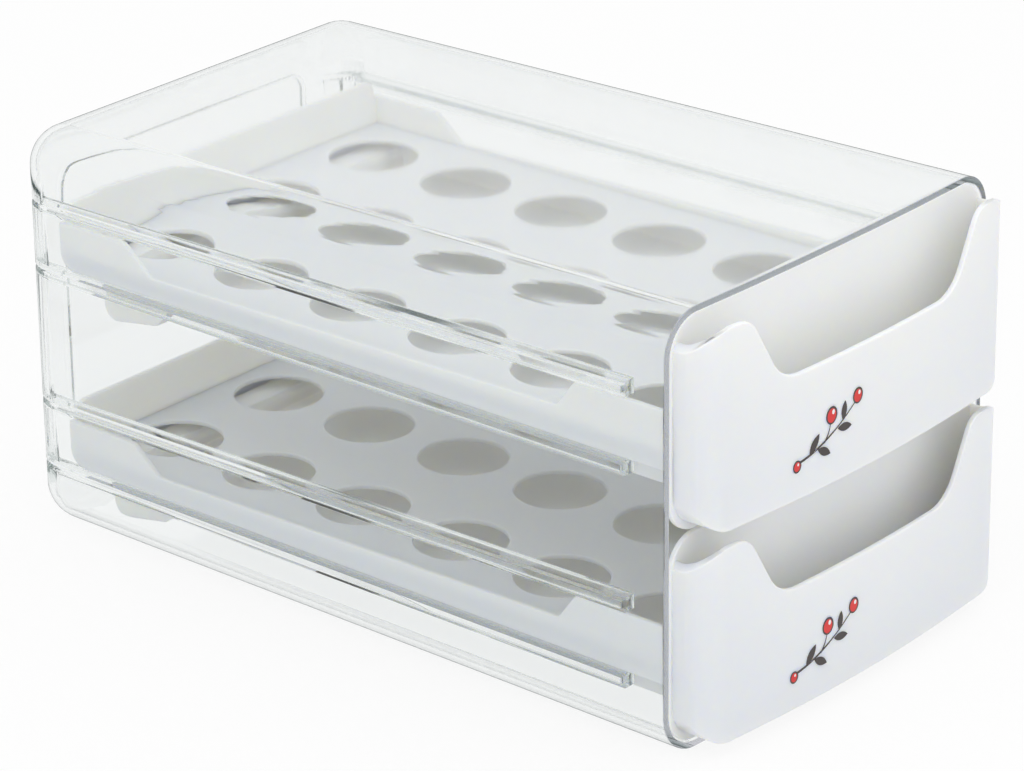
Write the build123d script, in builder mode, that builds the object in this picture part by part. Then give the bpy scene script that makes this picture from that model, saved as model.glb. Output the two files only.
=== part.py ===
from build123d import *
import math
import os

# A two-tier egg drawer for a fridge shelf: a clear case, open in front, holds two white
# drawers, one above the other, and a loose rack with round holes lies in each drawer.
# Lengths are in millimetres. X runs across the front, Y from the front to the back, and
# Z is up. The origin is the middle of the case's base.

# Clear case: one moulding that narrows a little towards its closed back
case_width = 188.4
case_height = 168.6
case_depth = 320.0
case_wall = 2.2
case_side_taper = 2.04
case_top_taper = 4.79
case_edge_radius = 16.4
rim_bow = 2.4
rim_chords = 8

# Panel pressed into the case's back
panel_side_margin = 25.2
panel_height_margin = 23.8
panel_depth = 1.2
panel_corner_radius = 7.0

# Rails: grooves folded into the case's side walls, two for each drawer and side
rail_reach = 5.9
rail_wall = 1.4
rail_opening = 3.2
rail_narrowing = 0.4
rail_setback = 19.8
rail_corner_radius = 13.0
support_rail_height = 25.6
guide_rail_height = 49.2
guide_rail_drop = 2.8

# Fit of the drawers in the case
mouth_gap = 0.6
front_gap = 1.2
side_gap = 0.65
rail_side_gap = 0.6
running_gap = 0.3
guide_gap = 0.7

# Drawer: closing wall, side walls, ledge and basin
drawer_wall = 2.2
front_corner_radius = 14.3
drawer_rear_room = 22.1
drawer_rear_radius = 7.5
inner_rear_radius = 3.2
side_wall_height = 11.6
side_wall_fall = 3.3
front_ear_length = 42.2
ear_slope_length = 8.0
rear_ear_height = 18.9
rear_ear_length = 34.9
rear_slope_length = 13.0
ear_corner_radius = 3.0
rear_wall_height = 26.0
rear_wall_corner_radius = 5.0
basin_depth = 7.4
basin_floor = 2.0
basin_rear_step = 16.0
basin_corner_radius = 8.0

# Rear feet under the basin: tabs with a sloping lower edge, deepest at the rear
foot_length = 32.9
foot_height = 11.9
foot_slope_rise = 4.6
foot_front_rise = 5.4
foot_front_slope = 5.0
foot_width = 6.0
foot_inset = 3.5
foot_rear_radius = 6.0
foot_front_radius = 3.0

# Hollow front: a bowed plate with a scooped top edge, open at the top as a pull
plate_wall = 2.2
pocket_side_inset = 2.0
pocket_depth = 19.0
plate_bow = 5.6
pocket_plan_radius = 12.0
plate_bottom_lift = 2.8
plate_top_drop = 2.0
plate_bottom_radius = 14.0
plate_shoulder_radius = 18.5
plate_shoulder_reach = 3.0
shoulder_flat = 2.4
scoop_drop = 28.0
scoop_slope = 60.0
scoop_lip_radius = 9.0
scoop_bottom_radius = 17.0

# Egg rack
rack_gap = 0.5
rack_plate = 1.8
rack_skirt = 1.6
rack_height = 5.5
egg_columns = 3
egg_rows = 6
egg_hole = 36.0

# Values that follow from the ones above
rim_y = -case_depth / 2
back_y = case_depth / 2
half_width = case_width / 2
mouth_half_width = half_width - case_wall
front_half_width = mouth_half_width - mouth_gap
front_height = (case_height - 2 * case_wall - 2 * mouth_gap - front_gap) / 2
tier_pitch = front_height + front_gap
tier_base = case_wall + mouth_gap
groove_half_width = half_width - rail_reach
rib_half_width = groove_half_width - rail_wall
rib_half_height = rail_opening / 2 + rail_wall
basin_half_width = rib_half_width - rail_side_gap
pocket_half_width = mouth_half_width - pocket_side_inset
shoulder_half_width = pocket_half_width + plate_shoulder_reach
drawer_rear_y = back_y - drawer_rear_room
clear_of = 10.0


def tier_level(tier):
    """Height of the lower edge of a tier's front, with tier 0 at the bottom."""
    return tier_base + tier * tier_pitch


def depth_share(y):
    """How far back a place lies, from 0 at the rim to 1 at the case's back."""
    return (y - rim_y) / case_depth


def case_block(inset, start_y, end_y):
    """The case's tapered block, drawn in by inset, with rounded long and back edges.

    Its front is bowed: short straight chords follow the curve.
    """
    start_half = half_width - case_side_taper * depth_share(start_y) - inset
    end_half = half_width - case_side_taper * depth_share(end_y) - inset
    front_y = start_y - rim_bow
    front_top = case_height - case_top_taper * depth_share(front_y) - inset
    end_top = case_height - case_top_taper * depth_share(end_y) - inset
    bowed_front = []
    for number in range(rim_chords + 1):
        across = 2 * number / rim_chords - 1
        bowed_front.append((across * start_half, start_y - rim_bow * (1 - across**2)))
    with BuildPart() as block:
        with BuildSketch(Plane.XY.offset(inset)):
            with BuildLine():
                Polyline(*bowed_front, (end_half, end_y), (-end_half, end_y), close=True)
            make_face()
        extrude(amount=case_height)
        with BuildSketch(Plane.YZ):
            with BuildLine():
                Polyline(
                    (front_y, inset),
                    (end_y, inset),
                    (end_y, end_top),
                    (front_y, front_top),
                    close=True,
                )
            make_face()
        extrude(amount=case_width, both=True, mode=Mode.INTERSECT)
        fillet(
            block.edges().filter_by(lambda edge: edge.bounding_box().max.Y > start_y + clear_of),
            case_edge_radius - inset,
        )
    return block.part


def rail_band(middle_front, drop, inner_half, outer_half, start_y, contour, contour_back):
    """The space on both sides that a rail's groove or rib takes up outside its contour.

    The contour is the rail's line seen from above. It runs straight along the tapering
    wall, so the rail is deepest in front and dies away round the case's back corners.
    """
    far = half_width + clear_of
    near = contour - 2 * rail_corner_radius
    length = contour_back - start_y + 2 * clear_of
    rail_plane = Plane(
        origin=(0, start_y, middle_front),
        x_dir=(1, 0, 0),
        z_dir=(0, back_y - start_y, -drop),
    )
    with BuildPart() as band:
        with BuildSketch(rail_plane):
            with BuildLine():
                Polyline(
                    (near, -inner_half),
                    (contour, -inner_half),
                    (far, -outer_half),
                    (far, outer_half),
                    (contour, inner_half),
                    (near, inner_half),
                    close=True,
                )
            make_face()
        extrude(amount=length)
        mirror(about=Plane.YZ)
        corner = rail_corner_radius - (groove_half_width - contour)
        with BuildSketch(Plane.XY):
            with Locations((0, contour_back - length / 2)):
                RectangleRounded(2 * contour, length, corner)
        extrude(amount=case_height, mode=Mode.SUBTRACT)
    return band.part


def rails():
    """The height of every rail's middle at its front end, and its drop towards the back."""
    for tier in (0, 1):
        yield tier_level(tier) + support_rail_height - rib_half_height, 0
        yield tier_level(tier) + guide_rail_height + rib_half_height, guide_rail_drop


# Clear case
with BuildPart() as case_hollow:
    add(case_block(case_wall, rim_y - clear_of, back_y - case_wall))
    for middle_front, drop in rails():
        rib = rail_band(
            middle_front,
            drop,
            rib_half_height,
            rib_half_height,
            rim_y + rail_setback - rail_wall,
            rib_half_width,
            back_y - case_wall,
        )
        add(rib, mode=Mode.SUBTRACT)
    panel_width = case_width - 2 * case_side_taper - 2 * panel_side_margin
    back_height = case_height - case_top_taper
    panel_height = back_height - 2 * panel_height_margin
    with BuildSketch(Plane.XZ.offset(case_wall + panel_depth - back_y)):
        with Locations((0, back_height / 2)):
            RectangleRounded(
                panel_width + 2 * panel_depth,
                panel_height + 2 * panel_depth,
                panel_corner_radius + panel_depth,
            )
    extrude(amount=-panel_depth - clear_of, mode=Mode.SUBTRACT)

with BuildPart() as case_shell:
    add(case_block(0, rim_y, back_y))
    for middle_front, drop in rails():
        groove = rail_band(
            middle_front,
            drop,
            rail_opening / 2 - rail_narrowing,
            rail_opening / 2,
            rim_y + rail_setback,
            groove_half_width,
            back_y,
        )
        add(groove, mode=Mode.SUBTRACT)
    with BuildSketch(Plane.XZ.offset(panel_depth - back_y)):
        with Locations((0, back_height / 2)):
            RectangleRounded(panel_width, panel_height, panel_corner_radius)
    extrude(amount=-panel_depth - clear_of, mode=Mode.SUBTRACT)
    add(case_hollow.part, mode=Mode.SUBTRACT)


def tray_block(inset, start_y, bottom, height, rear_edge_radius):
    """A block with the drawer's tapering plan and a rounded lower edge at the rear."""
    rear_y = drawer_rear_y - inset
    with BuildPart() as block:
        reach = mouth_half_width - side_gap - inset
        start_half = reach - case_side_taper * depth_share(start_y)
        rear_half = reach - case_side_taper * depth_share(rear_y)
        with BuildSketch(Plane.XY.offset(bottom)):
            with BuildLine():
                Polyline(
                    (-start_half, start_y),
                    (start_half, start_y),
                    (rear_half, rear_y),
                    (-rear_half, rear_y),
                    close=True,
                )
            make_face()
        extrude(amount=height)
        rear_bottom = block.faces().sort_by(Axis.Z)[0].edges().sort_by(Axis.Y)[-1]
        fillet(rear_bottom, rear_edge_radius)
    return block.part


def basin_block(inset, start_y, bottom, height):
    """The block of the basin that hangs between the rails."""
    rear_y = drawer_rear_y - basin_rear_step - inset
    length = rear_y - start_y
    with BuildPart() as block:
        with BuildSketch(Plane.XY.offset(bottom)) as plan:
            with Locations((0, (start_y + rear_y) / 2)):
                Rectangle(2 * (basin_half_width - inset), length)
            fillet(plan.vertices().group_by(Axis.Y)[-1], basin_corner_radius - inset)
        extrude(amount=height)
    return block.part


def plate_radius():
    """Radius of the front plate's bow, from its sagitta over the pocket's width."""
    return (pocket_half_width**2 + plate_bow**2) / (2 * plate_bow)


def pocket_prism(inset, bottom, height):
    """An upright block with the pocket's plan: straight sides and a bowed front."""
    radius = plate_radius() - inset
    centre_y = rim_y - pocket_depth + plate_radius()
    side = pocket_half_width - inset
    corner_y = centre_y - math.sqrt(radius**2 - side**2)
    with BuildPart() as prism:
        with BuildSketch(Plane.XY.offset(bottom)) as plan:
            with BuildLine():
                bow = ThreePointArc((-side, corner_y), (0, centre_y - radius), (side, corner_y))
                Polyline(bow @ 1, (side, rim_y + drawer_wall / 2), (-side, rim_y + drawer_wall / 2), bow @ 0)
            make_face()
            fillet(plan.vertices().group_by(Axis.Y)[0], pocket_plan_radius - inset)
        extrude(amount=height)
    return prism.part


def pocket_front(half_width, bottom, height, radius):
    """A block with rounded lower corners, as the pocket is seen from the front."""
    with BuildPart() as block:
        with BuildSketch(Plane.XZ.offset(-rim_y - drawer_wall)) as outline:
            with Locations((0, bottom)):
                Rectangle(2 * half_width, height, align=(Align.CENTER, Align.MIN))
            fillet(outline.vertices().group_by(Axis.Y)[0], radius)
        extrude(amount=drawer_wall + pocket_depth + clear_of)
    return block.part


def front_pocket(level):
    """The hollow front of a drawer, in front of its closing wall."""
    bottom = level + plate_bottom_lift
    top = level + front_height - plate_top_drop
    scoop = top - scoop_drop
    # From the side inwards: shoulder, a short flat, the rounded lip, and the scoop's slope
    lip_tangent = scoop_lip_radius * math.tan(math.radians(scoop_slope / 2))
    lip_half_width = shoulder_half_width - plate_shoulder_radius - shoulder_flat - lip_tangent
    scoop_half_width = lip_half_width - scoop_drop / math.tan(math.radians(scoop_slope))
    outline = [
        (-shoulder_half_width, bottom - clear_of),
        (shoulder_half_width, bottom - clear_of),
        (shoulder_half_width, top),
        (lip_half_width, top),
        (scoop_half_width, scoop),
        (-scoop_half_width, scoop),
        (-lip_half_width, top),
        (-shoulder_half_width, top),
    ]
    corner_radii = [
        0,
        0,
        plate_shoulder_radius,
        scoop_lip_radius,
        scoop_bottom_radius,
        scoop_bottom_radius,
        scoop_lip_radius,
        plate_shoulder_radius,
    ]
    inner_half = pocket_half_width - plate_wall
    inner_bottom = bottom + plate_wall
    inner_radius = plate_bottom_radius - plate_wall
    with BuildPart() as pocket_hollow:
        add(pocket_prism(plate_wall, inner_bottom, front_height))
        add(pocket_front(inner_half, inner_bottom, front_height, inner_radius), mode=Mode.INTERSECT)
    with BuildPart() as pocket:
        add(pocket_prism(0, bottom, front_height))
        outside = pocket_front(pocket_half_width, bottom, front_height, plate_bottom_radius)
        add(outside, mode=Mode.INTERSECT)
        with BuildSketch(Plane.XZ.offset(-rim_y - drawer_wall)):
            with BuildLine():
                FilletPolyline(outline, radius=corner_radii, close=True)
            make_face()
        extrude(amount=drawer_wall + pocket_depth + clear_of, mode=Mode.INTERSECT)
        add(pocket_hollow.part, mode=Mode.SUBTRACT)
    return pocket.part


def drawer(level):
    """One drawer as a single moulding, for the tier whose front starts at this height."""
    ledge = level + support_rail_height + running_gap
    joint_y = rim_y + drawer_wall / 2
    inner_y = rim_y + drawer_wall
    basin_bottom = ledge - basin_depth
    side_top = ledge + side_wall_height
    front_ear = level + guide_rail_height - guide_gap
    rear_ear = ledge + rear_ear_height
    highest = max(front_ear, rear_ear)
    beyond = highest + clear_of
    ear_end_y = rim_y + front_ear_length
    rear_slope_y = drawer_rear_y - rear_ear_length
    basin_rear_y = drawer_rear_y - basin_rear_step
    with BuildPart() as body:
        wall_height = highest - ledge
        add(tray_block(0, joint_y, ledge, wall_height, drawer_rear_radius))
        basin_height = basin_depth + drawer_wall
        add(basin_block(0, joint_y, basin_bottom, basin_height))
        hollow_bottom = ledge + drawer_wall
        hollow = tray_block(drawer_wall, inner_y, hollow_bottom, highest, inner_rear_radius)
        add(hollow, mode=Mode.SUBTRACT)
        floor_top = basin_bottom + basin_floor
        well = basin_block(drawer_wall, inner_y, floor_top, basin_height)
        add(well, mode=Mode.SUBTRACT)
        # Side walls: tall ears in front and at the rear, and a lower edge between them
        with BuildSketch(Plane.YZ.offset(-half_width)):
            with BuildLine():
                FilletPolyline(
                    (joint_y - clear_of, beyond),
                    (joint_y - clear_of, front_ear),
                    (ear_end_y, front_ear),
                    (ear_end_y + ear_slope_length, side_top),
                    (rear_slope_y - rear_slope_length, side_top - side_wall_fall),
                    (rear_slope_y, rear_ear),
                    (drawer_rear_y + clear_of, rear_ear),
                    (drawer_rear_y + clear_of, beyond),
                    radius=ear_corner_radius,
                    close=True,
                )
            make_face()
        extrude(amount=case_width, mode=Mode.SUBTRACT)
        # Rear wall: higher between the rails
        with BuildSketch(Plane.XZ.offset(-drawer_rear_y)):
            with Locations((0, ledge + drawer_rear_radius)):
                panel_rise = rear_wall_height - drawer_rear_radius
                Rectangle(2 * basin_half_width, panel_rise, align=(Align.CENTER, Align.MIN))
        rear_wall = extrude(amount=drawer_wall)
        upright = rear_wall.edges().filter_by(Axis.Y).group_by(Axis.Z)[-1]
        fillet(upright, rear_wall_corner_radius)
        # Rear feet
        foot_bottom = basin_bottom - foot_height
        foot_front_y = basin_rear_y - foot_length
        foot_radii = [foot_rear_radius, foot_front_radius, foot_front_radius, 0, 0]
        for side in (-1, 1):
            foot_x = side * (basin_half_width - foot_inset - foot_width / 2)
            with BuildSketch(Plane.YZ.offset(foot_x)):
                with BuildLine():
                    FilletPolyline(
                        (basin_rear_y, foot_bottom),
                        (foot_front_y + foot_front_slope, foot_bottom + foot_slope_rise),
                        (foot_front_y, foot_bottom + foot_slope_rise + foot_front_rise),
                        (foot_front_y, basin_bottom + basin_floor / 2),
                        (basin_rear_y, basin_bottom + basin_floor / 2),
                        radius=foot_radii,
                        close=True,
                    )
                make_face()
            extrude(amount=foot_width / 2, both=True)
        # Closing wall
        with BuildSketch(Plane.XZ.offset(-inner_y)):
            with Locations((0, level + front_height / 2)):
                RectangleRounded(2 * front_half_width, front_height, front_corner_radius)
        extrude(amount=drawer_wall)
        add(front_pocket(level))
    return body.part


def egg_rack(level):
    """One egg rack, which stands on the drawer's ledge."""
    ledge = level + support_rail_height + running_gap + drawer_wall
    start_y = rim_y + drawer_wall + rack_gap
    inset = drawer_wall + rack_gap
    end_y = drawer_rear_y - inset
    hollow_height = rack_height - rack_plate
    end_half = mouth_half_width - side_gap - inset - case_side_taper * depth_share(end_y)
    column_pitch = 2 * end_half / egg_columns
    row_pitch = (end_y - start_y) / egg_rows
    with BuildPart() as rack:
        add(tray_block(inset, start_y, ledge, rack_height, inner_rear_radius))
        skirt_y = start_y + rack_skirt
        hollow = tray_block(inset + rack_skirt, skirt_y, ledge, hollow_height, inner_rear_radius)
        add(hollow, mode=Mode.SUBTRACT)
        with BuildSketch(Plane.XY.offset(ledge + hollow_height)):
            with Locations((0, (start_y + end_y) / 2)):
                with GridLocations(column_pitch, row_pitch, egg_columns, egg_rows):
                    Circle(egg_hole / 2)
        extrude(amount=rack_plate, mode=Mode.SUBTRACT)
    return rack.part


os.makedirs("parts", exist_ok=True)

case_shell.part.label = "case_shell"
export_step(case_shell.part, "parts/case_shell.step")

for tier, place in enumerate(("lower", "upper")):
    tier_drawer = drawer(tier_level(tier))
    tier_drawer.label = place + "_drawer"
    export_step(tier_drawer, "parts/" + place + "_drawer.step")
    tier_rack = egg_rack(tier_level(tier))
    tier_rack.label = place + "_egg_rack"
    export_step(tier_rack, "parts/" + place + "_egg_rack.step")
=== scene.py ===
# %% [markdown]
# # An egg drawer in clear and white plastic
#
# The object is a fridge box with two storeys. A clear case, open in front, has folded rails
# in its side walls. A white drawer runs in each storey, its hollow front is the pull, and a
# loose rack with round holes lies in it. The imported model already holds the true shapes, so
# this file gives them what a moulding has besides its size: rounded edges, a skin that is
# never quite even, a printed motif, and light that shows clear plastic as clear.

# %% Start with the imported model
import math

import bmesh
import bpy
from mathutils import Matrix, Vector


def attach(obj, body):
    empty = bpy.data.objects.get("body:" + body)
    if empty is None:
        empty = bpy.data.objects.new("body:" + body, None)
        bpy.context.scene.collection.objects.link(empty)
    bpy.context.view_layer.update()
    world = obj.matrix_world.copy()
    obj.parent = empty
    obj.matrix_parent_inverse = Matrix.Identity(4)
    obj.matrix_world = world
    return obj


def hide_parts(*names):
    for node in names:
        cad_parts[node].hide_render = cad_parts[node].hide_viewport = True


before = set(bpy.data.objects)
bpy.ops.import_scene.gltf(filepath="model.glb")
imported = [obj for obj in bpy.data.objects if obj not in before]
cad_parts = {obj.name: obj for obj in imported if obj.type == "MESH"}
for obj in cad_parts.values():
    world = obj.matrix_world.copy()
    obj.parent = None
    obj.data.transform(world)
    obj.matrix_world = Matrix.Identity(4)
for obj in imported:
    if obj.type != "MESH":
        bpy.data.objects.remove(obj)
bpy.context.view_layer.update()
MM = 0.001

# %% [markdown]
# ## The sizes that the looks need
#
# A few places are used again and again: where the rim is, where a storey starts, and how the
# front plate is bowed. They are the same numbers as in the model's source, in metres, and
# everything below is worked out from them.

# %% Sizes shared with the solids
RIM_Y = -160.0 * MM
BACK_Y = 160.0 * MM
CASE_HALF_WIDTH = 94.2 * MM
RIM_BOW = 2.4 * MM
STOREYS = {"lower": 2.8 * MM, "upper": 84.9 * MM}
PLATE_HALF_WIDTH = 90.0 * MM
PLATE_BOW = 5.6 * MM
POCKET_DEPTH = 19.0 * MM
PLATE_RADIUS = (PLATE_HALF_WIDTH**2 + PLATE_BOW**2) / (2 * PLATE_BOW)
PLATE_CENTRE_Y = RIM_Y - POCKET_DEPTH + PLATE_RADIUS


def plate_surface_y(x):
    """Where the front plate's outer face lies at this distance from the middle."""
    return PLATE_CENTRE_Y - math.sqrt(PLATE_RADIUS**2 - x**2)


print("plate radius", round(PLATE_RADIUS, 4), "its foremost point", round(plate_surface_y(0), 4))

# %% [markdown]
# ## Helpers for node materials
#
# Every finish here is built from nodes, and a few small helpers keep the cells short. They
# start a material or a group, place a group, and make the nodes that come back in every
# finish: a mix of two colours, a map from one range to another, and the largest of some values.


# %% Node helpers
FLOATS = "NodeSocketFloat"


def add_node(tree, kind, **settings):
    """A new node of this kind in the tree, with attributes and input values set by name."""
    node = tree.nodes.new(kind)
    for key, value in settings.items():
        if key in node.inputs:
            node.inputs[key].default_value = value
        else:
            setattr(node, key, value)
    return node


def new_material(name):
    """An empty node material and its output node."""
    material = bpy.data.materials.new(name)
    material.use_nodes = True
    material.node_tree.nodes.clear()
    output = add_node(material.node_tree, "ShaderNodeOutputMaterial")
    return material, material.node_tree, output


def new_group(name, inputs, outputs):
    """A shader node group with named sockets: each is (name, kind, default or None)."""
    tree = bpy.data.node_groups.new(name, "ShaderNodeTree")
    for label, kind, default in inputs:
        socket = tree.interface.new_socket(label, in_out="INPUT", socket_type=kind)
        if default is not None:
            socket.default_value = default
    for label, kind in outputs:
        tree.interface.new_socket(label, in_out="OUTPUT", socket_type=kind)
    return tree, add_node(tree, "NodeGroupInput"), add_node(tree, "NodeGroupOutput")


def place_group(tree, group, **values):
    """A group node in a material, with its inputs set by name (underscores for spaces)."""
    node = tree.nodes.new("ShaderNodeGroup")
    node.node_tree = group
    for key, value in values.items():
        node.inputs[key.replace("_", " ")].default_value = value
    return node


def mix_colours(tree, first, second):
    """A colour mix: factor in input 0, first and second colour in 6 and 7, result in 2."""
    mix = add_node(tree, "ShaderNodeMix", data_type="RGBA")
    mix.inputs[6].default_value = (*first, 1.0)
    mix.inputs[7].default_value = (*second, 1.0)
    return mix


def map_range(tree, source=(0.0, 1.0), result=(0.0, 1.0), **settings):
    """A node that maps a value from the source range to the result range."""
    node = add_node(tree, "ShaderNodeMapRange", **settings)
    for name, value in zip(("From Min", "From Max", "To Min", "To Max"), source + result):
        node.inputs[name].default_value = value
    return node


def largest_of(tree, first, *others):
    """The socket that holds the largest of the values in these sockets."""
    for other in others:
        larger = add_node(tree, "ShaderNodeMath", operation="MAXIMUM")
        tree.links.new(first, larger.inputs[0])
        tree.links.new(other, larger.inputs[1])
        first = larger.outputs[0]
    return first


def seen_share(tree):
    """1 for rays that draw the picture: direct, mirrored or through something clear."""
    ray = add_node(tree, "ShaderNodeLightPath")
    kinds = ("Is Camera Ray", "Is Glossy Ray", "Is Transmission Ray")
    return largest_of(tree, *(ray.outputs[kind] for kind in kinds))


print("node helpers ready")

# %% [markdown]
# ## Moulded skin: flow marks and fine grain
#
# Injection moulded plastic is never one flat tone. The melt cools in long soft streaks along
# the way it flowed, the tool's polish leaves a grain finer than a tenth of a millimetre, and
# the gloss drifts with both. One group makes these masks for every plastic here: Streaks for
# colour, Sheen for roughness and Height for the bump. It could be painted by hand, but noise
# stretched along the depth of the box gives the same look on every side with no seams.


# %% Group: moulded skin
def make_moulded_skin():
    """The group with the masks for colour, roughness and bump."""
    tree, start, end = new_group(
        "moulded_skin",
        [
            ("Streak Scale", FLOATS, 18.0),
            ("Grain Scale", FLOATS, 900.0),
            ("Grain Share", FLOATS, 0.35),
        ],
        [("Streaks", FLOATS), ("Sheen", FLOATS), ("Height", FLOATS)],
    )
    place = add_node(tree, "ShaderNodeTexCoord")
    stretch = add_node(tree, "ShaderNodeMapping", Scale=(1.0, 0.25, 1.0))
    streaks = add_node(tree, "ShaderNodeTexNoise", Detail=4.0, Roughness=0.55)
    grain = add_node(tree, "ShaderNodeTexNoise", Detail=2.0, Roughness=0.5)
    waves = add_node(tree, "ShaderNodeTexNoise", Scale=60.0, Detail=1.0)
    sheen = add_node(tree, "ShaderNodeMath", operation="ADD")
    sheen_half = add_node(tree, "ShaderNodeMath", operation="MULTIPLY")
    sheen_half.inputs[1].default_value = 0.5
    height = add_node(tree, "ShaderNodeMix", data_type="FLOAT")
    link = tree.links.new
    link(place.outputs["Object"], stretch.inputs["Vector"])
    link(stretch.outputs["Vector"], streaks.inputs["Vector"])
    link(start.outputs["Streak Scale"], streaks.inputs["Scale"])
    link(place.outputs["Object"], grain.inputs["Vector"])
    link(start.outputs["Grain Scale"], grain.inputs["Scale"])
    link(place.outputs["Object"], waves.inputs["Vector"])
    link(streaks.outputs["Fac"], sheen.inputs[0])
    link(grain.outputs["Fac"], sheen.inputs[1])
    link(sheen.outputs[0], sheen_half.inputs[0])
    link(start.outputs["Grain Share"], height.inputs[0])
    link(waves.outputs["Fac"], height.inputs[2])
    link(grain.outputs["Fac"], height.inputs[3])
    link(streaks.outputs["Fac"], end.inputs["Streaks"])
    link(sheen_half.outputs[0], end.inputs["Sheen"])
    link(height.outputs[0], end.inputs["Height"])
    return tree


def add_skin(tree, shader, skin, gloss, strength, distance, height=None):
    """Lets the skin set a shader's roughness, within the gloss range, and its bump."""
    link = tree.links.new
    roughness = map_range(tree, result=gloss)
    bump = add_node(tree, "ShaderNodeBump", Strength=strength, Distance=distance)
    link(skin.outputs["Sheen"], roughness.inputs["Value"])
    link(roughness.outputs["Result"], shader.inputs["Roughness"])
    link(skin.outputs["Height"] if height is None else height, bump.inputs["Height"])
    link(bump.outputs["Normal"], shader.inputs["Normal"])


MOULDED_SKIN = make_moulded_skin()
print("group:", MOULDED_SKIN.name, [s.name for s in MOULDED_SKIN.interface.items_tree])

# %% [markdown]
# ## Where a finish changes along the box
#
# Some finishes belong to a place: the rim of the case gets painted shade, a darker tint standing
# in for the dark line that its cut edge shows, and the drawer's rear corners have a leather-like
# grain. This group turns a coordinate into a soft band, 1 between two values and 0 outside, with
# the edge as soft as wanted.


# %% Group: band along one direction
def make_place_band():
    """The group with a soft mask between two places along one direction."""
    tree, start, end = new_group(
        "place_band",
        [
            ("Along", FLOATS, 0.0),
            ("From", FLOATS, 0.0),
            ("To", FLOATS, 1.0),
            ("Soft", FLOATS, 0.001),
        ],
        [("Mask", FLOATS)],
    )
    link = tree.links.new
    edges = []
    for first, second in (("Along", "From"), ("To", "Along")):
        past = add_node(tree, "ShaderNodeMath", operation="SUBTRACT")
        share = add_node(tree, "ShaderNodeMath", operation="DIVIDE", use_clamp=True)
        link(start.outputs[first], past.inputs[0])
        link(start.outputs[second], past.inputs[1])
        link(past.outputs[0], share.inputs[0])
        link(start.outputs["Soft"], share.inputs[1])
        edges.append(share)
    both = add_node(tree, "ShaderNodeMath", operation="MULTIPLY")
    link(edges[0].outputs[0], both.inputs[0])
    link(edges[1].outputs[0], both.inputs[1])
    link(both.outputs[0], end.inputs["Mask"])
    return tree


PLACE_BAND = make_place_band()
print("group:", PLACE_BAND.name)

# %% [markdown]
# ## White plastic
#
# The drawers and racks are white polypropylene: a cool white, a soft broad gloss, and a faint
# mottling that only shows where light grazes. Base Color is drawn between two near whites by
# the streaks, roughness follows the sheen, and a very low bump carries the grain. Light sinks
# a few millimetres into such a plastic and red goes deepest, so the hollow fronts glow warm
# inside: that is the Subsurface part. The ears at the rear of the drawer's side walls have a
# pebbled texture on the real one, so a band along the depth lets a cell pattern through there.


# %% Material: white plastic
LIGHT_REACH = 5.0 * MM
REACH_BY_COLOUR = (1.0, 0.85, 0.55)
PEBBLED_FROM_Y, PEBBLED_TO_Y = 101.0 * MM, 139.0 * MM


def pebbled_height(tree, skin):
    """The skin's height with pebbles added at the rear ears."""
    link = tree.links.new
    place = add_node(tree, "ShaderNodeTexCoord")
    axes = add_node(tree, "ShaderNodeSeparateXYZ")
    rear = place_group(tree, PLACE_BAND, From=PEBBLED_FROM_Y, To=PEBBLED_TO_Y, Soft=2.0 * MM)
    pebbles = add_node(tree, "ShaderNodeTexVoronoi", feature="SMOOTH_F1", Scale=620.0)
    shown = add_node(tree, "ShaderNodeMath", operation="MULTIPLY")
    total = add_node(tree, "ShaderNodeMath", operation="ADD")
    link(place.outputs["Object"], axes.inputs["Vector"])
    link(axes.outputs["Y"], rear.inputs["Along"])
    link(place.outputs["Object"], pebbles.inputs["Vector"])
    link(pebbles.outputs["Distance"], shown.inputs[0])
    link(rear.outputs["Mask"], shown.inputs[1])
    link(skin.outputs["Height"], total.inputs[0])
    link(shown.outputs[0], total.inputs[1])
    return total.outputs[0]


def make_white_plastic(name, light, shade, pebbled):
    """White plastic that drifts between two near whites and lets light in."""
    material, tree, output = new_material(name)
    link = tree.links.new
    skin = place_group(
        tree, MOULDED_SKIN, Streak_Scale=14.0, Grain_Scale=1100.0, Grain_Share=0.5
    )
    tone = mix_colours(tree, shade, light)
    shader = add_node(tree, "ShaderNodeBsdfPrincipled", IOR=1.5)
    shader.inputs["Subsurface Weight"].default_value = 1.0
    shader.inputs["Subsurface Radius"].default_value = REACH_BY_COLOUR
    shader.inputs["Subsurface Scale"].default_value = LIGHT_REACH
    height = pebbled_height(tree, skin) if pebbled else None
    add_skin(tree, shader, skin, (0.30, 0.44), strength=0.10, distance=0.2 * MM, height=height)
    link(skin.outputs["Streaks"], tone.inputs[0])
    link(tone.outputs[2], shader.inputs["Base Color"])
    link(shader.outputs["BSDF"], output.inputs["Surface"])
    return material


WHITE_PLASTIC = make_white_plastic(
    "white_plastic", (0.905, 0.915, 0.91), (0.875, 0.887, 0.885), True
)
RACK_PLASTIC = make_white_plastic(
    "rack_plastic", (0.89, 0.893, 0.885), (0.865, 0.868, 0.862), False
)
print("materials:", WHITE_PLASTIC.name, RACK_PLASTIC.name)
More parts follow.
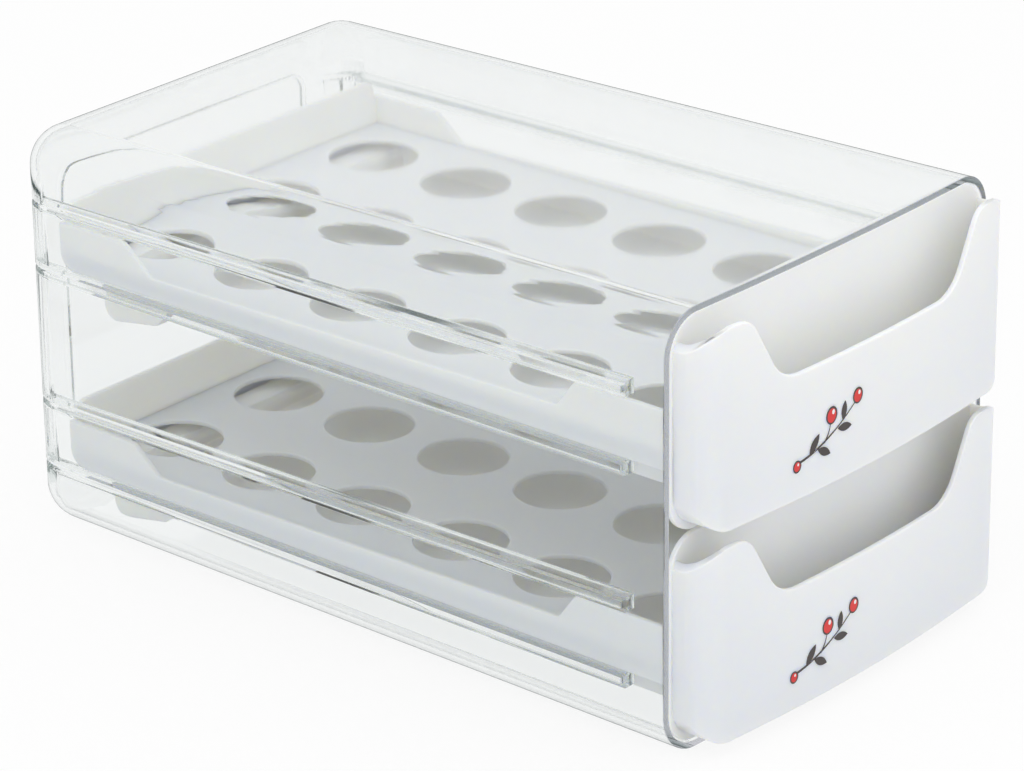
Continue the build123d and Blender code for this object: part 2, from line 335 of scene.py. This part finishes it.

# %% [markdown]
# ## Clear plastic
#
# The case is clear polystyrene. Its look is all in its edges: the flat walls nearly vanish,
# and every fold, corner and rim bends the light into pale and dark lines. So it is real
# glass-like refraction in a wall of true thickness. Lamps are let through with a Transparent
# shader for shadow rays, because light through clear plastic hardly loses anything, and so is
# light that has been mirrored inside the wall three times, which would otherwise be cut off
# and leave the folds black. A little absorption in the wall darkens the long ways through it,
# and where the wall turns away from the eye Layer Weight darkens its colour further: painted
# shade for the dark surroundings such a wall mirrors. Where a curved corner is nearly edge-on,
# white surroundings would mirror in it and hide it on a white page, so the view goes straight
# through there too, greyed as painted shade, while lamp light and the flat walls stay as they
# are. Together they draw the thin grey outlines. The rim's cut edge gets painted shade as well,
# a darker tint in place of the dark line it shows.


# %% Material: clear plastic
CLEAR = (0.985, 0.99, 0.99)
# Painted shade: the rim's cut edge is tinted darker, in place of the dark line it shows
RIM_PAINTED_SHADE = (0.34, 0.34, 0.39)
# Painted shade: the wall darkens where it turns away from the eye, for the dark surroundings it
# would mirror
PAINTED_OUTLINE_SHADE = (0.20, 0.22, 0.23)
PASSED_LIGHT = (0.95, 0.955, 0.955)
# Painted shade: the grey seen straight through a curved corner that is edge-on
PAINTED_EDGE_SHADE = (0.22, 0.25, 0.25)
MIRRORED_TOO_OFTEN = 2.5


def rim_shade_mask(tree, place):
    """Painted rim shade: 1 at the cut edge of the case's bowed rim, 0 behind it."""
    link = tree.links.new
    axes = add_node(tree, "ShaderNodeSeparateXYZ")
    squared = add_node(tree, "ShaderNodeMath", operation="MULTIPLY")
    bow = add_node(tree, "ShaderNodeMath", operation="MULTIPLY_ADD")
    bow.inputs[1].default_value = -RIM_BOW / CASE_HALF_WIDTH**2
    bow.inputs[2].default_value = RIM_BOW
    behind_rim = add_node(tree, "ShaderNodeMath", operation="ADD")
    rim = place_group(
        tree, PLACE_BAND, From=RIM_Y - 10 * MM, To=RIM_Y + 0.8 * MM, Soft=0.5 * MM
    )
    link(place.outputs["Object"], axes.inputs["Vector"])
    link(axes.outputs["X"], squared.inputs[0])
    link(axes.outputs["X"], squared.inputs[1])
    link(squared.outputs[0], bow.inputs[0])
    link(axes.outputs["Y"], behind_rim.inputs[0])
    link(bow.outputs[0], behind_rim.inputs[1])
    link(behind_rim.outputs[0], rim.inputs["Along"])
    return rim.outputs["Mask"]


def curved_edge_mask(tree, place, turned):
    """1 where a curved corner is nearly edge-on, 0 on the flat walls and wherever they face."""
    link = tree.links.new
    upright = add_node(tree, "ShaderNodeVectorMath", operation="ABSOLUTE")
    shares = add_node(tree, "ShaderNodeSeparateXYZ")
    link(place.outputs["Normal"], upright.inputs[0])
    link(upright.outputs["Vector"], shares.inputs["Vector"])
    flatness = largest_of(tree, *(shares.outputs[axis] for axis in "XYZ"))
    curved = map_range(tree, (0.96, 0.995), (1.0, 0.0), interpolation_type="SMOOTHSTEP")
    edge_on = map_range(tree, (0.80, 0.97), interpolation_type="SMOOTHSTEP")
    both = add_node(tree, "ShaderNodeMath", operation="MULTIPLY")
    link(flatness, curved.inputs["Value"])
    link(turned.outputs["Facing"], edge_on.inputs["Value"])
    link(edge_on.outputs["Result"], both.inputs[0])
    link(curved.outputs["Result"], both.inputs[1])
    return both.outputs[0]


def make_clear_plastic():
    """Clear plastic with painted shade at its rim and painted grey outlines."""
    material, tree, output = new_material("clear_plastic")
    link = tree.links.new
    skin = place_group(
        tree, MOULDED_SKIN, Streak_Scale=9.0, Grain_Scale=700.0, Grain_Share=0.12
    )
    place = add_node(tree, "ShaderNodeTexCoord")
    ray = add_node(tree, "ShaderNodeLightPath")
    turned = add_node(tree, "ShaderNodeLayerWeight", Blend=0.5)

    # The plastic itself: painted shade at the rim, and more painted shade as the wall turns away
    rim_shaded_tone = mix_colours(tree, CLEAR, RIM_PAINTED_SHADE)
    outline = map_range(tree, (0.66, 1.0))
    outline_painted_shade = mix_colours(tree, CLEAR, PAINTED_OUTLINE_SHADE)
    shader = add_node(tree, "ShaderNodeBsdfPrincipled", IOR=1.49)
    shader.inputs["Transmission Weight"].default_value = 1.0
    add_skin(tree, shader, skin, (0.015, 0.06), strength=0.05, distance=0.2 * MM)
    link(rim_shade_mask(tree, place), rim_shaded_tone.inputs[0])
    link(turned.outputs["Facing"], outline.inputs["Value"])
    link(outline.outputs["Result"], outline_painted_shade.inputs[0])
    link(rim_shaded_tone.outputs[2], outline_painted_shade.inputs[6])
    link(outline_painted_shade.outputs[2], shader.inputs["Base Color"])

    # What goes straight through: lamp light, light mirrored too often, and the view at a
    # corner that is edge-on, which alone is greyed with painted shade
    lamp_or_sky = largest_of(tree, ray.outputs["Is Shadow Ray"], ray.outputs["Is Diffuse Ray"])
    curved_edge = curved_edge_mask(tree, place, turned)
    painted_edge_share = add_node(tree, "ShaderNodeMath", operation="SUBTRACT", use_clamp=True)
    passed_light_and_edge_shade = mix_colours(tree, PASSED_LIGHT, PAINTED_EDGE_SHADE)
    passing = add_node(tree, "ShaderNodeBsdfTransparent")
    trapped = add_node(tree, "ShaderNodeMath", operation="GREATER_THAN")
    trapped.inputs[1].default_value = MIRRORED_TOO_OFTEN
    link(curved_edge, painted_edge_share.inputs[0])
    link(lamp_or_sky, painted_edge_share.inputs[1])
    link(painted_edge_share.outputs[0], passed_light_and_edge_shade.inputs[0])
    link(passed_light_and_edge_shade.outputs[2], passing.inputs["Color"])
    link(ray.outputs["Glossy Depth"], trapped.inputs[0])
    straight = largest_of(tree, lamp_or_sky, trapped.outputs[0], curved_edge)

    both = add_node(tree, "ShaderNodeMixShader")
    wall = add_node(
        tree, "ShaderNodeVolumeAbsorption", Color=(0.70, 0.75, 0.74, 1.0), Density=50.0
    )
    link(straight, both.inputs[0])
    link(shader.outputs["BSDF"], both.inputs[1])
    link(passing.outputs["BSDF"], both.inputs[2])
    link(both.outputs[0], output.inputs["Surface"])
    link(wall.outputs["Volume"], output.inputs["Volume"])
    return material


CLEAR_PLASTIC = make_clear_plastic()
print("material:", CLEAR_PLASTIC.name)

# %% [markdown]
# ## Rounded edges for every moulding
#
# No moulded edge is sharp: the tool has a small radius everywhere, and it is what catches the
# light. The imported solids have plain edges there, so each one is copied, its flat facets are
# joined, and a Bevel modifier rounds its sharp outer edges, thinner ones with less. The copy
# then stands for the node. Modelling each rounding by hand would give the same shape with far
# more work.


# %% Helpers: joining a moulding's facets
PLATE_FROM_Y = RIM_Y - RIM_BOW - 0.2 * MM
SAME_POINT = 0.004 * MM
CROWDED_POINTS = 0.95 * MM
ONE_PLANE = math.radians(0.4)
LIP_TURN = math.radians(4.5)
MANY_CORNERS = 24
RAILS_FROM_X = 80 * MM


def lies_across_a_lip(edge):
    """True for a flat edge that crosses the front plate's narrow upper edge."""
    in_front = min(v.co.y for v in edge.verts) < PLATE_FROM_Y
    if not in_front or len(edge.link_faces) != 2:
        return False
    first, second = edge.link_faces
    faces_up_or_down = max(abs(first.normal.y), abs(second.normal.y)) < 0.08
    return faces_up_or_down and first.normal.angle(second.normal, 0) < LIP_TURN


def folds_when_rounded(face):
    """True for a face with so many corners that rounding its edges folds it over itself.

    These are the back of a drawer's closing wall, and the case's rails where they run out
    into its rear corners.
    """
    middle = face.calc_center_median()
    is_wall = face.normal.y > 0.9 and middle.y < 0
    is_rail = abs(face.normal.z) > 0.9 and abs(middle.x) > RAILS_FROM_X
    return len(face.verts) > MANY_CORNERS and (is_wall or is_rail)


def join_flat_facets(mesh):
    """Merges doubled and crowded points, and joins facets in one plane or along the lip.

    The few joined faces that rounding would fold are split into triangles again.
    """
    bm = bmesh.new()
    bm.from_mesh(mesh)
    bmesh.ops.remove_doubles(bm, verts=bm.verts, dist=SAME_POINT)
    plate = [v for v in bm.verts if v.co.y < PLATE_FROM_Y]
    bmesh.ops.remove_doubles(bm, verts=plate, dist=CROWDED_POINTS)
    bmesh.ops.dissolve_degenerate(bm, edges=bm.edges, dist=SAME_POINT)
    bmesh.ops.dissolve_limit(bm, angle_limit=ONE_PLANE, verts=bm.verts, edges=bm.edges)
    bm.normal_update()
    across = [edge for edge in bm.edges if lies_across_a_lip(edge)]
    bmesh.ops.dissolve_edges(bm, edges=across, use_verts=False)
    bm.normal_update()
    bmesh.ops.triangulate(bm, faces=[face for face in bm.faces if folds_when_rounded(face)])
    open_edges = sum(not e.is_manifold for e in bm.edges)
    bm.to_mesh(mesh)
    bm.free()
    return open_edges


# %% Helpers: rounding a moulding's edges
KNIFE_EDGE_TURN = math.radians(100)
KNIFE_EDGE_SHARE = 0.4
SHARP_TURN = math.radians(32)


def mark_rounded_edges(mesh, least_turn, share_of_radius):
    """Gives each sharp outer edge its share of the rounding radius, and counts them."""
    bm = bmesh.new()
    bm.from_mesh(mesh)
    weight = bm.edges.layers.float.new("bevel_weight_edge")
    marked = 0
    for edge in bm.edges:
        turn = edge.calc_face_angle_signed() if len(edge.link_faces) == 2 else 0
        if turn > math.radians(least_turn):
            thin = KNIFE_EDGE_SHARE if turn > KNIFE_EDGE_TURN else 1.0
            edge[weight] = thin * share_of_radius(edge.verts[0].co, edge.verts[1].co)
            marked += edge[weight] > 0
    bm.to_mesh(mesh)
    bm.free()
    return marked


def rounded_moulding(node, body, material, edge_radius, least_turn, share_of_radius):
    """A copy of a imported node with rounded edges, which stands for that node.

    Edges that turn by less than least_turn, in degrees, keep their shape.
    """
    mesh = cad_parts[node].data.copy()
    mesh.name = node + "_moulding"
    mesh.materials.clear()
    mesh.materials.append(material)
    open_edges = join_flat_facets(mesh)
    marked = mark_rounded_edges(mesh, least_turn, share_of_radius)
    mesh.polygons.foreach_set("use_smooth", [True] * len(mesh.polygons))
    mesh.polygons.foreach_set("material_index", [0] * len(mesh.polygons))
    mesh.set_sharp_from_angle(angle=SHARP_TURN)
    piece = bpy.data.objects.new(node + "_moulding", mesh)
    bpy.context.scene.collection.objects.link(piece)
    rounding = piece.modifiers.new("edge_rounding", "BEVEL")
    rounding.width = edge_radius
    rounding.segments = 3
    rounding.limit_method = "WEIGHT"
    rounding.use_clamp_overlap = False
    shading = piece.modifiers.new("flat_faces_stay_flat", "WEIGHTED_NORMAL")
    shading.weight = 100
    shading.keep_sharp = True
    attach(piece, body)
    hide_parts(node)
    print(piece.name, len(mesh.polygons), "faces,", marked, "edges rounded,", open_edges, "open")
    return piece


# %% The case, the drawers and the racks
RAILS_DIE_AWAY_Y = BACK_Y - 24 * MM
WALL_FROM_Y = RIM_Y - 0.5 * MM
LIP_THINS_FROM_X, LIP_THINS_OVER = 66 * MM, 20 * MM
RACK_REAR_Y = 130 * MM


def case_share(first, second):
    """The case is rounded along its rails: not at its crisp rim, nor where rails die away."""
    behind_rim = min(first.y, second.y) > RIM_Y + 2 * MM
    return 1.0 if behind_rim and max(first.y, second.y) < RAILS_DIE_AWAY_Y else 0.0


def drawer_share(first, second):
    """The front plate's lip is the roundest, and less so towards its sides.

    Where the plate runs into the closing wall nothing is rounded.
    """
    if min(first.y, second.y) > WALL_FROM_Y:
        return 0.85
    if max(first.y, second.y) > WALL_FROM_Y:
        return 0.0
    side = max(abs(first.x), abs(second.x))
    return min(1.0, max(0.45, 1 - (side - LIP_THINS_FROM_X) / LIP_THINS_OVER))


def rack_share(first, second):
    """The rack's edges all have the same radius, apart from the thin one under its rear."""
    return 0.0 if min(first.y, second.y) > RACK_REAR_Y else 1.0


rounded_moulding(
    "case_shell", "case", CLEAR_PLASTIC, 0.4 * MM, 32, case_share
)
for storey in STOREYS:
    body = storey + "_drawer"
    rounded_moulding(body, body, WHITE_PLASTIC, 0.6 * MM, 45, drawer_share)
    rounded_moulding(
        storey + "_egg_rack", body, RACK_PLASTIC, 0.4 * MM, 45, rack_share
    )

# %% [markdown]
# ## A printed sprig on each front
#
# The fronts carry a small pad print. Here it is a plain sprig: a dark stem with leaves and
# three red berries, each with a white glint. Ink lies on the plastic as a film, so every shape
# is a thin closed solid that follows the plate's bow and stands a few hundredths of a
# millimetre proud. An image texture would be quicker, but a shape stays crisp at any distance.


# %% Material: ink
def make_ink(name, colour, shade):
    """Printing ink between two tones, finer grained than the plastic."""
    material, tree, output = new_material(name)
    link = tree.links.new
    skin = place_group(
        tree, MOULDED_SKIN, Streak_Scale=240.0, Grain_Scale=1800.0, Grain_Share=0.8
    )
    tone = mix_colours(tree, colour, shade)
    shader = add_node(tree, "ShaderNodeBsdfPrincipled", IOR=1.5)
    add_skin(tree, shader, skin, (0.28, 0.46), strength=0.08, distance=0.1 * MM)
    link(skin.outputs["Streaks"], tone.inputs[0])
    link(tone.outputs[2], shader.inputs["Base Color"])
    link(shader.outputs["BSDF"], output.inputs["Surface"])
    return material


INKS = {
    "dark": make_ink("dark_ink", (0.030, 0.022, 0.020), (0.052, 0.038, 0.034)),
    "red": make_ink("red_ink", (0.78, 0.025, 0.020), (0.60, 0.012, 0.014)),
    "glint": make_ink("glint_ink", (0.90, 0.88, 0.87), (0.82, 0.80, 0.79)),
}
print("inks:", sorted(INKS))

# %% [markdown]
# ## Drawing the sprig's shapes
#
# Each shape is an outline in the plate's own plane, x to the right and z up, in millimetres
# from the sprig's foot. A leaf is two arcs that meet in points, a berry is an ellipse, and the
# stem is a ribbon along a curve that gets thinner towards its tip. Every outline comes from a
# formula with a few sizes, so the sprig can be redrawn by changing those.


# %% Outlines
def leaf_outline(x, z, length, width, angle, steps=9):
    """A pointed leaf that starts at (x, z) and points along the angle in degrees."""
    turn = math.radians(angle)
    outline = []
    for number in range(2 * steps):
        share = number / steps
        along = share if share <= 1 else 2 - share
        side = 1 if share <= 1 else -1
        across = side * width / 2 * math.sin(math.pi * along) ** 0.8
        forward = along * length
        outline.append(
            (
                x + forward * math.cos(turn) - across * math.sin(turn),
                z + forward * math.sin(turn) + across * math.cos(turn),
            )
        )
    return outline


def berry_outline(x, z, width, height, steps=28):
    """An ellipse round (x, z)."""
    turns = [2 * math.pi * number / steps for number in range(steps)]
    return [(x + width / 2 * math.cos(t), z + height / 2 * math.sin(t)) for t in turns]


def stem_outline(start, bend, end, thick, steps=14):
    """A ribbon along a curve from start to end, pulled towards bend, thinner at its tip."""
    left, right = [], []
    for number in range(steps + 1):
        t = number / steps
        x = (1 - t) ** 2 * start[0] + 2 * t * (1 - t) * bend[0] + t**2 * end[0]
        z = (1 - t) ** 2 * start[1] + 2 * t * (1 - t) * bend[1] + t**2 * end[1]
        run_x = 2 * (1 - t) * (bend[0] - start[0]) + 2 * t * (end[0] - bend[0])
        run_z = 2 * (1 - t) * (bend[1] - start[1]) + 2 * t * (end[1] - bend[1])
        size = math.hypot(run_x, run_z)
        half = thick / 2 * (1 - 0.6 * t)
        left.append((x - run_z / size * half, z + run_x / size * half))
        right.append((x + run_z / size * half, z - run_x / size * half))
    return left + right[::-1]


print("a leaf has", len(leaf_outline(0, 0, 8, 3, 0)), "points")


# %% The sprig
SPRIG = {
    "dark": [
        stem_outline((0, 0), (15, 2), (30, 13), 1.0),
        stem_outline((13, 3.1), (16, 6), (16.5, 10), 0.7),
        leaf_outline(5.0, 0.9, 8.5, 3.4, 52),
        leaf_outline(9.5, 1.8, 8.0, 3.2, -28),
        leaf_outline(20.5, 6.2, 8.0, 3.2, -8),
        leaf_outline(23.5, 8.2, 7.5, 3.0, 82),
        berry_outline(17.0, 12.4, 6.2, 6.8),
        berry_outline(31.8, 15.2, 5.6, 6.2),
        berry_outline(-1.6, -1.2, 4.4, 4.8),
    ],
    "red": [
        berry_outline(17.0, 12.3, 4.8, 5.4),
        berry_outline(31.8, 15.1, 4.3, 4.9),
        berry_outline(-1.6, -1.2, 3.2, 3.6),
    ],
    "glint": [
        berry_outline(17.9, 13.5, 1.5, 1.9),
        berry_outline(32.6, 16.2, 1.3, 1.7),
        berry_outline(-1.1, -0.5, 0.9, 1.1),
    ],
}
FILM = {"dark": 0.02 * MM, "red": 0.025 * MM, "glint": 0.03 * MM}
FILM_ROOT = 0.35 * MM
SPRIG_FOOT = (-41.0, 17.0)
print({ink: len(shapes) for ink, shapes in SPRIG.items()})


# %% Printing the sprig on the plates
def printed_film(name, outlines, level, proud):
    """One closed film per outline, bowed like the plate, standing proud of it."""
    bm = bmesh.new()
    for outline in outlines:
        rings = []
        for depth in (-proud, FILM_ROOT):
            ring = []
            for x, z in outline:
                place_x = (SPRIG_FOOT[0] + x) * MM
                place_z = level + (SPRIG_FOOT[1] + z) * MM
                ring.append(bm.verts.new((place_x, plate_surface_y(place_x) + depth, place_z)))
            rings.append(ring)
        front, back = rings
        bm.faces.new(front)
        bm.faces.new(back[::-1])
        for corners in zip(front, back, back[1:] + back[:1], front[1:] + front[:1]):
            bm.faces.new(corners)
    bmesh.ops.recalc_face_normals(bm, faces=bm.faces)
    mesh = bpy.data.meshes.new(name)
    bm.to_mesh(mesh)
    bm.free()
    piece = bpy.data.objects.new(name, mesh)
    bpy.context.scene.collection.objects.link(piece)
    return piece


for storey, level in STOREYS.items():
    for ink, outlines in SPRIG.items():
        film = printed_film(storey + "_sprig_" + ink, outlines, level, FILM[ink])
        film.data.materials.append(INKS[ink])
        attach(film, storey + "_drawer")
        print(film.name, len(film.data.polygons), "faces")

# %% [markdown]
# ## Stage, light and camera
#
# The picture is a plain product shot: a white ground, broad soft light from above and the
# front, and a long lens from the front left corner. Camera rays see the ground and the sky as
# white, while the object is lit by the lamps and a weaker sky, so whites stay below clipping.

# %% Floor
FLOOR_REACH = 6.0
PAPER = (0.92, 0.92, 0.92, 1.0)
PLAIN_WHITE = (1.0, 1.0, 1.0, 1.0)
WHITE_SHARE = 0.87


def make_floor():
    """A broad sheet of paper, shown nearly white but still darkened by the shadow."""
    bm = bmesh.new()
    signs = ((-1, -1), (1, -1), (1, 1), (-1, 1))
    bm.faces.new([bm.verts.new((x * FLOOR_REACH, y * FLOOR_REACH, 0)) for x, y in signs])
    mesh = bpy.data.meshes.new("floor")
    bm.to_mesh(mesh)
    bm.free()
    floor = bpy.data.objects.new("floor", mesh)
    bpy.context.scene.collection.objects.link(floor)
    material, tree, output = new_material("floor_paper")
    link = tree.links.new
    paper = add_node(tree, "ShaderNodeBsdfDiffuse", Color=PAPER)
    white = add_node(tree, "ShaderNodeEmission", Color=PLAIN_WHITE, Strength=1.0)
    share = add_node(tree, "ShaderNodeMath", operation="MULTIPLY")
    share.inputs[1].default_value = WHITE_SHARE
    both = add_node(tree, "ShaderNodeMixShader")
    link(seen_share(tree), share.inputs[0])
    link(share.outputs[0], both.inputs[0])
    link(paper.outputs[0], both.inputs[1])
    link(white.outputs[0], both.inputs[2])
    link(both.outputs[0], output.inputs["Surface"])
    mesh.materials.append(material)
    return floor


FLOOR = make_floor()
print("floor laid:", FLOOR.name)


# %% Sky
SKY_STRENGTH = 0.86
SKY_COLOUR = (1.0, 1.0, 0.995, 1.0)


def make_sky():
    """A soft sky that lights the object, and is white where it is seen."""
    world = bpy.data.worlds.new("studio")
    bpy.context.scene.world = world
    world.use_nodes = True
    tree = world.node_tree
    tree.nodes.clear()
    output = add_node(tree, "ShaderNodeOutputWorld")
    lit = add_node(tree, "ShaderNodeBackground", Color=SKY_COLOUR, Strength=SKY_STRENGTH)
    seen = add_node(tree, "ShaderNodeBackground", Color=PLAIN_WHITE, Strength=1.0)
    both = add_node(tree, "ShaderNodeMixShader")
    link = tree.links.new
    link(seen_share(tree), both.inputs[0])
    link(lit.outputs[0], both.inputs[1])
    link(seen.outputs[0], both.inputs[2])
    link(both.outputs[0], output.inputs["Surface"])
    return world


SKY = make_sky()
print("sky:", SKY.name)


# %% Lamps
def soft_box(name, place, size, power, colour):
    """A square area lamp that looks at the object's middle."""
    light = bpy.data.lights.new(name, "AREA")
    light.shape = "RECTANGLE"
    light.size = size
    light.size_y = size
    light.energy = power
    light.color = colour
    lamp = bpy.data.objects.new(name, light)
    bpy.context.scene.collection.objects.link(lamp)
    lamp.location = place
    lamp.rotation_mode = "QUATERNION"
    lamp.rotation_quaternion = (BOX_MIDDLE - lamp.location).to_track_quat("-Z", "Y")
    return lamp


BOX_MIDDLE = Vector((0.0, 0.0, 0.08))
LAMPS = [
    soft_box("overhead_box", (-0.2, -0.1, 1.5), 1.6, 4.5, (1.0, 1.0, 1.0)),
    soft_box("front_box", (-0.5, -1.25, 1.1), 1.0, 2.0, (1.0, 1.0, 0.99)),
]
print("lamps:", [lamp.name for lamp in LAMPS])

# %% [markdown]
# ## Camera
#
# The photograph was taken with a long lens from the front left, a little above. Its place was
# worked out from the straight edges of the case: how they meet in vanishing points gives the
# direction, and the box's proportions give the distance. The frame is 1024 by 771 points.

# %% Camera from the worked-out view
VIEW_AZIMUTH = math.radians(-49.277)
VIEW_HEIGHT = math.radians(23.318)
VIEW_ROLL = math.radians(-0.7057)
FOCAL_POINTS = 4582.2
FRAME_WIDTH = 1024
CAMERA_PLACE = Vector((-1209.1, -1051.3, 759.7)) * MM

backward = Vector(
    (
        math.sin(VIEW_AZIMUTH) * math.cos(VIEW_HEIGHT),
        -math.cos(VIEW_AZIMUTH) * math.cos(VIEW_HEIGHT),
        math.sin(VIEW_HEIGHT),
    )
)
level_right = Vector((-backward.y, backward.x, 0)).normalized()
level_up = backward.cross(level_right)
right = math.cos(VIEW_ROLL) * level_right + math.sin(VIEW_ROLL) * level_up
up = math.cos(VIEW_ROLL) * level_up - math.sin(VIEW_ROLL) * level_right
lens = bpy.data.cameras.new("photo_camera")
lens.sensor_width = 36.0
lens.lens = FOCAL_POINTS / FRAME_WIDTH * lens.sensor_width
lens.clip_end = 50.0
camera = bpy.data.objects.new("photo_camera", lens)
bpy.context.scene.collection.objects.link(camera)
axes = Matrix((right, up, backward)).transposed().to_4x4()
camera.matrix_world = Matrix.Translation(CAMERA_PLACE) @ axes
bpy.context.scene.camera = camera
bpy.context.scene.view_settings.view_transform = "Standard"
print("lens", round(lens.lens, 2), "mm")
